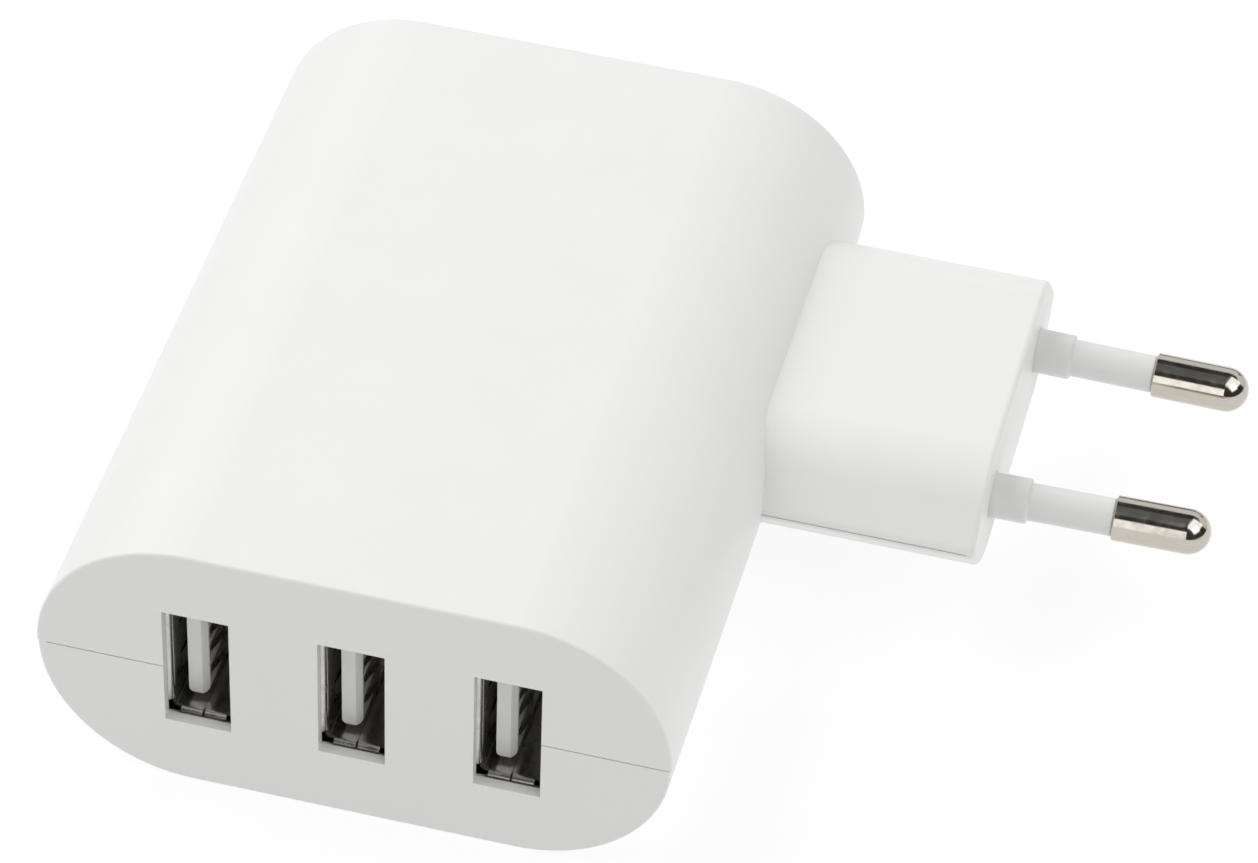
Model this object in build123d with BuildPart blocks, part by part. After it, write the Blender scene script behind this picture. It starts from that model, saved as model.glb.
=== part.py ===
from build123d import *
import os
from math import atan2, cos, radians, sin, sqrt

# USB wall charger with three USB-A ports and a two-pin mains plug (Europlug pattern).
# Millimetres. +X runs out along the mains pins, +Y from the port face to the back, +Z up.
# The origin is the centre of the flat underside that the charger lies on.

# Driving dimensions of the housing
body_width = 55.2          # X, across both rounded sides
body_length = 72.1         # Y, port face to back
body_height = 26.6         # Z; the sides are full half rounds
wall = 2.0                 # general wall of both shells
port_wall = 1.0            # wall left in front of the receptacles
face_edge = 0.3            # edge radius of the port face and the back
shell_step = 0.1           # how far the top shell overhangs the bottom one on each side
seam_height = 0.12         # open line between the shells
seam_depth = 0.5
lip_width = 0.9            # the bottom shell's inner lip, which closes the seam from inside
lip_height = 1.2
lip_clearance = 0.1

# Plug body: six-sided section with rounded shoulders and tips
plug_y = 13.15             # its middle, from the middle of the body
plug_reach = 18.8          # from the body's side to the engagement face
plug_tip = 17.95           # half width, to the sharp tip before rounding
plug_flat = 12.85          # half width of the flat top, before rounding
plug_half_height = 5.98
shoulder_radius = 6.4
tip_radius = 1.17
cap_thickness = 0.75       # outer flange of the pin plate
cap_edge = 0.5
pin_hole_lead_in = 0.15    # bevel round each pin's hole in the engagement face
plug_depth = 4.1           # the pin plate's plug behind its flange

# Mains pins
pin_spacing = 19.2         # between centres at the engagement face
pin_tilt = 0.85            # degrees that each pin leans towards the other
pin_radius = 2.0
pin_length = 19.2
sleeve_end = 10.74         # the insulated stretch, from the engagement face
collar_length = 3.24
sleeve_radius = 1.67
core_radius = 1.3          # the pin inside its sleeve
pin_tail = 9.0             # how far the pin runs back behind the engagement face

# USB-A receptacles, standing on their narrow side
port_pitch = 13.5
slot_width = 5.82
slot_height = 12.86
pocket_width = 7.2         # room behind the port wall for the receptacles' flared lips
pocket_height = 14.6
mouth_width = 5.12         # inside the metal shell
mouth_height = 12.5
sheet = 0.3                # metal of the shell
shell_seam = 0.05          # open line of the shell's folded seam
shell_front = 1.9          # depth of the straight part's front, from the port face
shell_back = 15.0
lip_radius = 0.65          # flare of the shell's front lips
tongue_left = -1.72        # the tongue's two sides, from the port's middle
tongue_right = 0.0
tongue_height = 11.3
tongue_corner = 0.45
tongue_bevel = 0.5         # slanted front edge on the contact side
tongue_front = 3.0
insulator_front = 12.2     # where the tongue meets the insulator's block
contact_levels = (-3.5, -1.0, 1.0, 3.5)
contact_rise = 0.45        # how far a contact's bend stands out of the tongue
contact_sink = 0.25        # how deep its straight part lies in the tongue

# Main board
board_width = 43.0
board_front = -31.2
board_back = 32.5
board_thickness = 1.6
board_top = 6.6
lead_end = 4.2             # cut length of the leads under the board

# Worked out
parting_height = body_height / 2
half_width = body_width / 2
half_length = body_length / 2
port_face_y = -half_length
plug_end_x = half_width + plug_reach
cap_x = plug_end_x - cap_thickness
tip_half_angle = atan2(plug_half_height, plug_tip - plug_flat)
plug_half_width = plug_tip - tip_radius * (1 / sin(tip_half_angle) - 1)
board_bottom = board_top - board_thickness
port_centres = (-port_pitch, 0.0, port_pitch)
cavity_floor = wall
cavity_ceiling = body_height - wall

os.makedirs("parts", exist_ok=True)


def save(part, name):
    """Names a finished piece and writes its STEP file."""
    part.label = name
    export_step(part, f"parts/{name}.step")


def block(low, high, mode=Mode.ADD):
    """A box between two corners, in the part being built."""
    middle = tuple((a + b) / 2 for a, b in zip(low, high))
    size = [b - a for a, b in zip(low, high)]
    with Locations(middle):
        Box(*size, mode=mode)


def upright(x, y, low, high, radius, mode=Mode.ADD):
    """An upright cylinder between two heights, in the part being built."""
    with Locations((x, y, (low + high) / 2)):
        Cylinder(radius, high - low, mode=mode)


def plug_section(x, inset):
    """The plug body's six-sided section at one station, moved in by inset all round."""
    side = sqrt((plug_tip - plug_flat) ** 2 + plug_half_height ** 2)
    across = plug_half_height / side
    along = (plug_tip - plug_flat) / side
    height = plug_half_height - inset
    tip = plug_tip - inset / across
    flat = (plug_tip * across - inset - along * height) / across
    shoulder = max(shoulder_radius - inset, 0.5)
    end = max(tip_radius - inset, 0.3)
    plane = Plane(origin=(x, plug_y, parting_height), x_dir=(0, 1, 0), z_dir=(1, 0, 0))
    corners = [(tip, 0), (flat, height), (-flat, height), (-tip, 0), (-flat, -height), (flat, -height)]
    with BuildSketch(plane) as section:
        with BuildLine():
            FilletPolyline(
                *corners,
                radius=[end, shoulder, shoulder, end, shoulder, shoulder],
                close=True,
            )
        make_face()
    return section.sketch


def body_section(y, width, height):
    """A flat-topped section with half-round sides, facing +Y."""
    plane = Plane(origin=(0, y, parting_height), x_dir=(-1, 0, 0), z_dir=(0, 1, 0))
    with BuildSketch(plane) as section:
        SlotOverall(width, height)
    return section.sketch


def outer_form(width):
    """The housing's outer form as one solid: the body and the plug body up to the pin plate."""
    with BuildPart() as form:
        extrude(body_section(port_face_y, width, body_height), amount=body_length)
        ends = form.faces().filter_by(Axis.Y)
        fillet(ends.edges(), radius=face_edge)
        extrude(plug_section(20.0, 0), amount=cap_x - 20.0)
    return form.part


def port_slots():
    """Cuts the three port slots and the pockets behind them out of the part being built."""
    for x in port_centres:
        half_slot = slot_width / 2
        half_high = slot_height / 2
        block(
            (x - half_slot, port_face_y - 1, parting_height - half_high),
            (x + half_slot, port_face_y + wall + 1, parting_height + half_high),
            Mode.SUBTRACT,
        )
        block(
            (x - pocket_width / 2, port_face_y + port_wall, parting_height - pocket_height / 2),
            (x + pocket_width / 2, port_face_y + wall + 1, parting_height + pocket_height / 2),
            Mode.SUBTRACT,
        )


# ---------------------------------------------------------------- housing

# The space inside both shells
with BuildPart() as cavity:
    extrude(
        body_section(port_face_y + wall, body_width - 2 * wall, body_height - 2 * wall),
        amount=body_length - 2 * wall,
    )
    extrude(plug_section(18.0, wall), amount=cap_x - 18.0)

# The lip runs round inside the wall, clear of the ports and of the plug body
with BuildPart() as lip_ring:
    with BuildSketch(Plane.XY.offset(parting_height)):
        Rectangle(body_width - 2 * (wall - lip_width), body_length - 2 * (wall - lip_width))
        Rectangle(body_width - 2 * wall, body_length - 2 * wall, mode=Mode.SUBTRACT)
    extrude(amount=lip_height)
    block((-18.5, -half_length, 10), (18.5, -half_length + 4, 20), Mode.SUBTRACT)
    block((20, plug_y - 18.2, 10), (half_width, plug_y + 18.2, 20), Mode.SUBTRACT)

with BuildPart() as lip_rebate:
    with BuildSketch(Plane.XY.offset(parting_height)):
        Rectangle(
            body_width - 2 * (wall - lip_width - lip_clearance),
            body_length - 2 * (wall - lip_width - lip_clearance),
        )
        Rectangle(body_width - 2 * wall - 1, body_length - 2 * wall - 1, mode=Mode.SUBTRACT)
    extrude(amount=lip_height + lip_clearance)
    block((-18.4, -half_length, 10), (18.4, -half_length + 4, 20), Mode.SUBTRACT)
    block((20, plug_y - 18.1, 10), (half_width, plug_y + 18.1, 20), Mode.SUBTRACT)

# The open seam line. The shells meet tightly between the ports, at the port face's left end and
# just before the pin plate.
with BuildPart() as seam_line:
    with BuildSketch(Plane.XY.offset(parting_height - seam_height)):
        Rectangle(body_width, body_length)
        with Locations((plug_end_x / 2, plug_y)):
            Rectangle(plug_end_x, 2 * plug_half_width)
        Rectangle(
            body_width - 2 * (shell_step + seam_depth),
            body_length - 2 * seam_depth,
            mode=Mode.SUBTRACT,
        )
        with Locations((plug_end_x / 2, plug_y)):
            Rectangle(plug_end_x + 1, 2 * (plug_half_width - seam_depth), mode=Mode.SUBTRACT)
    extrude(amount=seam_height)
    block((-16.3, -half_length - 1, 10), (10.7, -half_length + 1, 20), Mode.SUBTRACT)
    block((-half_width, -half_length - 1, 10), (-half_width + 0.9, -half_length + 1, 20), Mode.SUBTRACT)
    block((cap_x, plug_y - 20, 10), (plug_end_x + 1, plug_y + 20, 20), Mode.SUBTRACT)

with BuildPart() as top_shell:
    add(outer_form(body_width))
    add(cavity.part, mode=Mode.SUBTRACT)
    split(bisect_by=Plane.XY.offset(parting_height), keep=Keep.TOP)
    port_slots()
    add(lip_rebate.part, mode=Mode.SUBTRACT)
    # rib that holds the receptacles down on the board
    block((-17.0, -27.6, parting_height + 6.75), (17.0, -26.4, cavity_ceiling + 0.5))
    # ribs across the lid
    block((-18.0, 16.0, 22.9), (18.0, 17.0, cavity_ceiling + 0.5))
    for side in (-1, 1):
        block((side * 14 - 0.5, -22, 23.4), (side * 14 + 0.5, 32, cavity_ceiling + 0.5))
save(top_shell.part, "top_shell")

with BuildPart() as bottom_shell:
    add(outer_form(body_width - 2 * shell_step))
    add(cavity.part, mode=Mode.SUBTRACT)
    split(bisect_by=Plane.XY.offset(parting_height), keep=Keep.BOTTOM)
    port_slots()
    add(seam_line.part, mode=Mode.SUBTRACT)
    add(lip_ring.part)
    # posts and pegs for the board
    for x in (-17.5, 17.5):
        for y in (-28.5, 29.0):
            upright(x, y, 1.3, board_bottom, 1.7)
            upright(x, y, board_bottom - 0.5, board_top + 0.4, 0.6)
save(bottom_shell.part, "bottom_shell")

# ---------------------------------------------------------------- mains pins

pins = []
sleeves = []
for side in (-1, 1):
    origin = (plug_end_x, plug_y + side * pin_spacing / 2, parting_height)
    direction = (cos(radians(pin_tilt)), -side * sin(radians(pin_tilt)), 0)
    pin_plane = Plane(origin=origin, x_dir=direction, z_dir=(0, 0, 1))
    pin_axis = Axis(origin, direction)

    # Sleeve with its collar, moulded into the pin plate
    with BuildPart() as sleeve:
        with BuildSketch(pin_plane):
            with BuildLine():
                Polyline(
                    (-plug_depth - cap_thickness, core_radius),
                    (sleeve_end, core_radius),
                    (sleeve_end, sleeve_radius - 0.12),
                    (sleeve_end - 0.12, sleeve_radius),
                    (collar_length + 0.12, sleeve_radius),
                    (collar_length, sleeve_radius + 0.12),
                    (collar_length, pin_radius - 0.12),
                    (collar_length - 0.12, pin_radius),
                    (-plug_depth - cap_thickness, pin_radius),
                    close=True,
                )
            make_face()
        revolve(axis=pin_axis)
    sleeves.append(sleeve.part)

    # Pin: full diameter at the bare end, thinner in the sleeve, with a head and a wire barrel behind
    with BuildPart() as pin:
        with BuildSketch(pin_plane):
            with BuildLine():
                Polyline(
                    (pin_length, 0),
                    (-pin_tail, 0),
                    (-pin_tail, 1.45),
                    (-pin_tail + 2.4, 1.45),
                    (-pin_tail + 2.4, 1.9),
                    (-plug_depth - cap_thickness, 1.9),
                    (-plug_depth - cap_thickness, core_radius),
                    (sleeve_end, core_radius),
                    (sleeve_end, pin_radius - 0.1),
                    (sleeve_end + 0.1, pin_radius),
                    (pin_length - pin_radius, pin_radius),
                )
                CenterArc((pin_length - pin_radius, 0), pin_radius, 0, 90)
            make_face()
        revolve(axis=pin_axis)
    pins.append(pin.part)

for index in range(2):
    save(sleeves[index], f"pin_sleeve_{index + 1}")
    save(pins[index], f"pin_{index + 1}")

# Pin plate: flange over the plug body's end, and a plug inside its wall
with BuildPart() as pin_plate:
    extrude(plug_section(cap_x, 0), amount=cap_thickness)
    fillet(pin_plate.faces().sort_by(Axis.X)[-1].edges(), radius=cap_edge)
    extrude(plug_section(cap_x - plug_depth, wall + 0.05), amount=plug_depth)
    for side in (-1, 1):
        origin = (plug_end_x, plug_y + side * pin_spacing / 2, parting_height)
        direction = (cos(radians(pin_tilt)), -side * sin(radians(pin_tilt)), 0)
        with BuildSketch(Plane(origin=origin, z_dir=direction).offset(-8)) as hole:
            Circle(pin_radius)
        extrude(hole.sketch, amount=10, mode=Mode.SUBTRACT)
        bevel_middle = (plug_end_x - pin_hole_lead_in / 2, origin[1], origin[2])
        with Locations(Plane(origin=bevel_middle, z_dir=(1, 0, 0))):
            Cone(
                pin_radius - pin_hole_lead_in,
                pin_radius + 2 * pin_hole_lead_in,
                3 * pin_hole_lead_in,
                mode=Mode.SUBTRACT,
            )
save(pin_plate.part, "pin_plate")

# ---------------------------------------------------------------- USB-A receptacles


def lip_profile(plane, centre, start):
    """Quarter ring of a flared lip, from start degrees, in the given plane."""
    with BuildSketch(plane) as profile:
        with BuildLine():
            outer = CenterArc(centre, lip_radius, start, 90)
            inner = CenterArc(centre, lip_radius - sheet, start, 90)
            Line(outer @ 0, inner @ 0)
            Line(outer @ 1, inner @ 1)
        make_face()
    return profile.sketch


def leaf_profile(x, side, height):
    """A leaf spring of a receptacle's wide wall, bent towards the tongue, as a traced strip."""
    wall_x = x + side * (mouth_width + sheet) / 2
    with BuildSketch(Plane.XY.offset(height)) as profile:
        with BuildLine():
            FilletPolyline(
                (wall_x, port_face_y + 3.0),
                (wall_x, port_face_y + 3.9),
                (wall_x - side * 0.42, port_face_y + 6.8),
                (wall_x - side * 0.1, port_face_y + 8.6),
                radius=1.2,
            )
        trace(line_width=0.24)
    return profile.sketch


def usb_shell(x):
    """The stamped steel shell of one receptacle."""
    tube_front = port_face_y + shell_front
    tube_back = port_face_y + shell_back
    half_x = mouth_width / 2
    half_z = mouth_height / 2
    front = Plane(origin=(x, tube_front, parting_height), x_dir=(-1, 0, 0), z_dir=(0, 1, 0))
    with BuildPart() as shell:
        with BuildSketch(front):
            RectangleRounded(mouth_width + 2 * sheet, mouth_height + 2 * sheet, 0.5)
            RectangleRounded(mouth_width, mouth_height, 0.2, mode=Mode.SUBTRACT)
        extrude(amount=tube_back - tube_front)
        # lips of the wide sides
        for side, start in ((-1, 270), (1, 180)):
            centre = (x + side * (half_x + lip_radius), tube_front)
            extrude(
                lip_profile(Plane.XY.offset(parting_height), centre, start),
                amount=half_z - 0.85,
                both=True,
            )
        # lips of the narrow sides, in pairs with a gap between them
        for side, start in ((-1, 90), (1, 180)):
            centre = (tube_front, parting_height + side * (half_z + lip_radius))
            for low in (-2.0, 0.09):
                plane = Plane(origin=(x + low, 0, 0), x_dir=(0, 1, 0), z_dir=(1, 0, 0))
                extrude(lip_profile(plane, centre, start), amount=1.91)
        # folded seam along the bottom
        block(
            (x - shell_seam / 2, tube_front - 1, parting_height - half_z - 1),
            (x + shell_seam / 2, tube_back + 1, parting_height - half_z + 0.1),
            Mode.SUBTRACT,
        )
        # windows and leaf springs in the wide walls
        for side in (-1, 1):
            for level in (-3.0, 3.0):
                edge = x + side * (half_x + sheet / 2)
                block(
                    (edge - sheet, port_face_y + 3.5, parting_height + level - 1.25),
                    (edge + sheet, port_face_y + 9.2, parting_height + level + 1.25),
                    Mode.SUBTRACT,
                )
                extrude(leaf_profile(x, side, parting_height + level), amount=0.95, both=True)
        # legs through the board
        for side in (-1, 1):
            leg_x = x + side * (half_x + sheet / 2)
            block(
                (leg_x - sheet / 2, port_face_y + 10.5, lead_end),
                (leg_x + sheet / 2, port_face_y + 12.0, parting_height - half_z + 0.5),
            )
    return shell.part


def usb_contacts(x):
    """The four contacts of one receptacle, each a sprung beam and a tail through the board."""
    floor_x = x + tongue_right - contact_sink
    with BuildPart() as contacts:
        for index, level in enumerate(contact_levels):
            height = parting_height + level
            with BuildSketch(Plane.XY.offset(height)) as beam:
                with BuildLine():
                    FilletPolyline(
                        (floor_x, port_face_y + 12.9),
                        (floor_x, port_face_y + 9.4),
                        (floor_x + contact_sink + contact_rise, port_face_y + 6.4),
                        (floor_x + 0.15, port_face_y + 4.2),
                        radius=0.8,
                    )
                trace(line_width=0.2)
            extrude(beam.sketch, amount=0.45, both=True)
            tail_y = port_face_y + 15.6 + 0.8 * index
            tail_plane = Plane(origin=(floor_x - 0.1, 0, 0), x_dir=(0, 1, 0), z_dir=(1, 0, 0))
            with BuildSketch(tail_plane) as tail:
                with BuildLine():
                    FilletPolyline(
                        (port_face_y + 12.6, height),
                        (tail_y, height),
                        (tail_y, lead_end),
                        radius=0.35,
                    )
                trace(line_width=0.5)
            extrude(tail.sketch, amount=0.2)
    return contacts.part


def usb_insulator(x, contacts):
    """The plastic body of one receptacle: a block at the back and the tongue."""
    half_tongue = tongue_height / 2
    with BuildPart() as insulator:
        with BuildSketch(Plane.XZ.offset(-(port_face_y + tongue_front))):
            with Locations((x + (tongue_left + tongue_right) / 2, parting_height)):
                RectangleRounded(tongue_right - tongue_left, tongue_height, tongue_corner)
        extrude(amount=-(insulator_front - tongue_front + 0.5))
        # slanted front edge on the contact side
        edge_x = x + tongue_right
        edge_y = port_face_y + tongue_front
        with BuildSketch(Plane.XY.offset(parting_height)) as slant:
            Polygon(
                (edge_x - tongue_bevel, edge_y), (edge_x, edge_y + tongue_bevel),
                (edge_x + 0.5, edge_y - 0.5),
                align=None,
            )
        extrude(slant.sketch, amount=half_tongue, both=True, mode=Mode.SUBTRACT)
        # grooves that the contacts sink into
        for level in contact_levels:
            block(
                (x + tongue_right - 0.38, port_face_y + 3.7, parting_height + level - 0.65),
                (x + tongue_right + 0.1, port_face_y + insulator_front, parting_height + level + 0.65),
                Mode.SUBTRACT,
            )
        with BuildSketch(Plane.XZ.offset(-(port_face_y + insulator_front))) as back:
            with Locations((x, parting_height)):
                RectangleRounded(mouth_width - 0.02, mouth_height - 0.02, 0.25)
        extrude(back.sketch, amount=-(shell_back - insulator_front))
        add(contacts, mode=Mode.SUBTRACT)
    return insulator.part


shells = []
contact_sets = []
for index, x in enumerate(port_centres):
    shells.append(usb_shell(x))
    contact_sets.append(usb_contacts(x))
    save(shells[index], f"usb_shell_{index + 1}")
    save(contact_sets[index], f"usb_contacts_{index + 1}")
    save(usb_insulator(x, contact_sets[index]), f"usb_insulator_{index + 1}")

# ---------------------------------------------------------------- parts on the board

# Places of the parts, X and Y of their middles
bulk_1 = (-14.6, 9.0)
bulk_2 = (-14.6, -2.6)
output_1 = (-14.4, -12.9)
output_2 = (-4.8, -13.2)
transformer = (2.5, 5.0)
choke = (-4.0, 24.4)
bridge = (-16.6, 19.0)
x_cap = (10.0, 28.6)
varistor = (8.2, 21.6)
fuse = (17.0, 21.0)
y_cap = (17.4, 5.6)
opto = (17.3, -4.3)
rectifier = (13.6, -10.4)
output_coil = (3.9, -13.0)

# Every through-hole lead: X, Y and the height where it enters its part
leads = []


def lead_row(places, height):
    """Adds one lead for each place."""
    for place in places:
        leads.append((place[0], place[1], height))


def can(centre, radius, height, base):
    """An upright round can with a rolled groove near its base and a rounded rim."""
    x, y = centre
    plane = Plane(origin=(x, y, base), x_dir=(1, 0, 0), z_dir=(0, -1, 0))
    with BuildPart() as body:
        with BuildSketch(plane):
            with BuildLine():
                FilletPolyline(
                    (0, 0),
                    (radius - 0.3, 0),
                    (radius, 0.3),
                    (radius, 1.2),
                    (radius - 0.5, 1.7),
                    (radius, 2.2),
                    (radius, height - 0.2),
                    (radius - 0.7, height),
                    (0, height),
                    radius=[0.1, 0.1, 0.2, 0.3, 0.2, 0.15, 0.3],
                )
                Line((0, height), (0, 0))
            make_face()
        revolve(axis=Axis((x, y, base), (0, 0, 1)))
        # shallow vent cross in the top
        block((x - radius * 0.6, y - 0.15, base + height - 0.2), (x + radius * 0.6, y + 0.15, base + height),
              Mode.SUBTRACT)
        block((x - 0.15, y - radius * 0.6, base + height - 0.2), (x + 0.15, y + radius * 0.6, base + height),
              Mode.SUBTRACT)
    return body.part


save(can(bulk_1, 5.0, 15.0, board_top), "bulk_capacitor_1")
save(can(bulk_2, 5.0, 15.0, board_top), "bulk_capacitor_2")
save(can(output_1, 4.0, 11.5, board_top), "output_capacitor_1")
save(can(output_2, 4.0, 11.5, board_top), "output_capacitor_2")
for centre, pitch in ((bulk_1, 2.5), (bulk_2, 2.5), (output_1, 1.75), (output_2, 1.75)):
    lead_row([(centre[0] - pitch, centre[1]), (centre[0] + pitch, centre[1])], board_top)

# Transformer: two E-shaped ferrite halves, one above the other, round an upright coil former
tx, ty = transformer
with BuildPart() as transformer_core:
    for low, high, back_low, back_high in ((8.4, 15.2, 8.4, 10.8), (15.2, 22.0, 19.6, 22.0)):
        block((tx - 9.5, ty - 2.5, back_low), (tx + 9.5, ty + 2.5, back_high))
        for left, right in ((-9.5, -7.1), (-2.5, 2.5), (7.1, 9.5)):
            block((tx + left, ty - 2.5, low), (tx + right, ty + 2.5, high))
save(transformer_core.part, "transformer_core")

with BuildPart() as transformer_bobbin:
    block((tx - 6.9, ty - 7.0, 10.9), (tx + 6.9, ty + 7.0, 11.6))
    block((tx - 6.9, ty - 7.0, 18.8), (tx + 6.9, ty + 7.0, 19.5))
    block((tx - 3.3, ty - 3.3, 10.9), (tx + 3.3, ty + 3.3, 19.5))
    for side in (-1, 1):
        block((tx - 8.0, ty + side * 5.6 - 2.4, 7.0), (tx + 8.0, ty + side * 5.6 + 2.4, 11.2))
    block((tx - 2.6, ty - 2.6, 10.0), (tx + 2.6, ty + 2.6, 20.0), Mode.SUBTRACT)
    block((tx - 9.6, ty - 2.6, 6.0), (tx + 9.6, ty + 2.6, 10.85), Mode.SUBTRACT)
save(transformer_bobbin.part, "transformer_bobbin")

with BuildPart() as transformer_winding:
    with BuildSketch(Plane.XY.offset(11.65)):
        with Locations(transformer):
            RectangleRounded(12.8, 12.8, 2.0)
            RectangleRounded(6.7, 6.7, 0.05, mode=Mode.SUBTRACT)
    extrude(amount=7.1)
save(transformer_winding.part, "transformer_winding")

with BuildPart() as transformer_tape:
    with BuildSketch(Plane.XY.offset(11.9)):
        with Locations(transformer):
            RectangleRounded(13.2, 13.2, 2.2)
            RectangleRounded(12.85, 12.85, 2.02, mode=Mode.SUBTRACT)
    extrude(amount=6.6)
save(transformer_tape.part, "transformer_tape")
for side in (-1, 1):
    lead_row([(tx - 6.0 + 4.0 * step, ty + side * 5.6) for step in range(4)], 7.0)

# Common-mode choke: ring core lying in a plastic base, with two windings
cx, cy = choke
with BuildPart() as choke_core:
    upright(cx, cy, 9.2, 14.2, 5.2)
    upright(cx, cy, 9.2, 14.2, 2.9, Mode.SUBTRACT)
    fillet(choke_core.edges().filter_by(GeomType.CIRCLE), radius=0.5)
save(choke_core.part, "choke_core")

with BuildPart() as choke_windings:
    for start in (-55, 125):
        outwards = (cos(radians(start)), sin(radians(start)), 0)
        across = (sin(radians(start)), -cos(radians(start)), 0)
        with BuildSketch(Plane(origin=(cx, cy, 0), x_dir=outwards, z_dir=across)) as turns:
            with Locations((4.05, 11.7)):
                RectangleRounded(3.9, 6.6, 1.0)
                RectangleRounded(2.4, 5.1, 0.55, mode=Mode.SUBTRACT)
        revolve(turns.sketch, axis=Axis((cx, cy, 0), (0, 0, 1)), revolution_arc=110)
save(choke_windings.part, "choke_windings")

with BuildPart() as choke_base:
    block((cx - 6.4, cy - 6.4, 6.8), (cx + 6.4, cy + 6.4, 8.0))
    block((cx - 0.6, cy - 5.6, 8.0), (cx + 0.6, cy + 5.6, 9.2))
    block((cx - 0.6, cy - 2.6, 8.0), (cx + 0.6, cy + 2.6, 13.6))
save(choke_base.part, "choke_base")
lead_row([(cx + a * 5.0, cy + b * 5.0) for a in (-1, 1) for b in (-1, 1)], 6.8)

# Bridge rectifier, a moulded block
bx, by = bridge
with BuildPart() as bridge_rectifier:
    block((bx - 3.2, by - 4.2, 6.9), (bx + 3.2, by + 4.2, 10.2))
    chamfer(bridge_rectifier.faces().sort_by(Axis.Z)[-1].edges(), length=0.4)
save(bridge_rectifier.part, "bridge_rectifier")
lead_row([(bx + a * 2.3, by + b * 2.6) for a in (-1, 1) for b in (-1, 1)], 6.9)

# Film capacitor across the line, a box
with BuildPart() as x_capacitor:
    block((x_cap[0] - 6.5, x_cap[1] - 2.5, 6.7), (x_cap[0] + 6.5, x_cap[1] + 2.5, 17.5))
    fillet(x_capacitor.edges().filter_by(Axis.Z), radius=0.6)
save(x_capacitor.part, "x_capacitor")
lead_row([(x_cap[0] - 5.0, x_cap[1]), (x_cap[0] + 5.0, x_cap[1])], 6.7)


def disc_part(centre, radius, thickness, x_dir):
    """A dipped disc standing on its leads, rounded all round; its flat sides face across x_dir."""
    x, y = centre
    middle = Plane(origin=(x, y, board_top + 1.6 + radius), x_dir=(0, 0, 1), z_dir=x_dir)
    with BuildPart() as disc:
        with BuildSketch(middle.offset(-thickness / 2)):
            Circle(radius)
        extrude(amount=thickness)
        fillet(disc.edges(), radius=thickness * 0.4)
    return disc.part


save(disc_part(varistor, 4.6, 3.2, (0, 1, 0)), "surge_varistor")
lead_row([(varistor[0] - 2.5, varistor[1]), (varistor[0] + 2.5, varistor[1])], board_top + 2.1)
save(disc_part(y_cap, 4.2, 3.4, (1, 0, 0)), "y_capacitor")
lead_row([(y_cap[0], y_cap[1] - 2.5), (y_cap[0], y_cap[1] + 2.5)], board_top + 2.2)

# Fuse in a round case
with BuildPart() as fuse_case:
    upright(fuse[0], fuse[1], 6.7, 14.6, 3.9)
    fillet(fuse_case.faces().sort_by(Axis.Z)[-1].edges(), radius=0.5)
save(fuse_case.part, "fuse")
lead_row([(fuse[0], fuse[1] - 2.5), (fuse[0], fuse[1] + 2.5)], 6.7)

# Optocoupler, a four-lead block that bridges the two sides
ox, oy = opto
with BuildPart() as optocoupler:
    block((ox - 2.3, oy - 3.2, 7.1), (ox + 2.3, oy + 3.2, 10.4))
    chamfer(optocoupler.faces().sort_by(Axis.Z)[-1].edges(), length=0.35)
save(optocoupler.part, "optocoupler")
lead_row([(ox + a * 1.27, oy + b * 2.7) for a in (-1, 1) for b in (-1, 1)], 7.1)

# Output rectifier: metal tab and moulded body, screwed to a bent aluminium heat sink
rx, ry = rectifier
with BuildPart() as output_rectifier:
    block((rx - 4.9, ry - 1.3, 8.0), (rx + 4.9, ry, 21.5))
    block((rx - 5.0, ry - 4.4, 8.0), (rx + 5.0, ry - 1.3, 16.2))
    with BuildSketch(Plane(origin=(rx, ry + 1, 19.0), z_dir=(0, -1, 0))):
        Circle(1.8)
    extrude(amount=4, mode=Mode.SUBTRACT)
save(output_rectifier.part, "output_rectifier")
lead_row([(rx + a * 2.54, ry - 2.4) for a in (-1, 0, 1)], 8.0)

with BuildPart() as heat_sink:
    block((rx - 5.6, ry, 7.0), (rx + 5.6, ry + 1.5, 22.4))
    block((rx - 5.6, ry + 1.5, 20.9), (rx + 5.6, ry + 3.0, 22.4))
    with BuildSketch(Plane(origin=(rx, ry - 1, 19.0), z_dir=(0, 1, 0))):
        Circle(1.5)
    extrude(amount=3, mode=Mode.SUBTRACT)
save(heat_sink.part, "heat_sink")

with BuildPart() as heat_sink_screw:
    with BuildSketch(Plane(origin=(rx, ry - 1.3, 19.0), z_dir=(0, -1, 0))):
        Circle(2.7)
    extrude(amount=1.6)
    fillet(heat_sink_screw.faces().sort_by(Axis.Y)[0].edges(), radius=0.7)
    with BuildSketch(Plane(origin=(rx, ry - 1.5, 19.0), z_dir=(0, 1, 0))):
        Circle(1.45)
    extrude(amount=3.0)
    block((rx - 2.0, ry - 3.0, 18.7), (rx + 2.0, ry - 2.3, 19.3), Mode.SUBTRACT)
save(heat_sink_screw.part, "heat_sink_screw")

# Output choke: bobbin-shaped ferrite core and its winding
kx, ky = output_coil
with BuildPart() as output_choke_core:
    upright(kx, ky, 6.7, 8.0, 3.4)
    upright(kx, ky, 8.0, 14.0, 1.6)
    upright(kx, ky, 14.0, 15.3, 3.4)
save(output_choke_core.part, "output_choke_core")

with BuildPart() as output_choke_winding:
    upright(kx, ky, 8.1, 13.9, 3.1)
    upright(kx, ky, 8.1, 13.9, 1.7, Mode.SUBTRACT)
save(output_choke_winding.part, "output_choke_winding")
lead_row([(kx - 2.4, ky), (kx + 2.4, ky)], 6.7)


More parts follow.
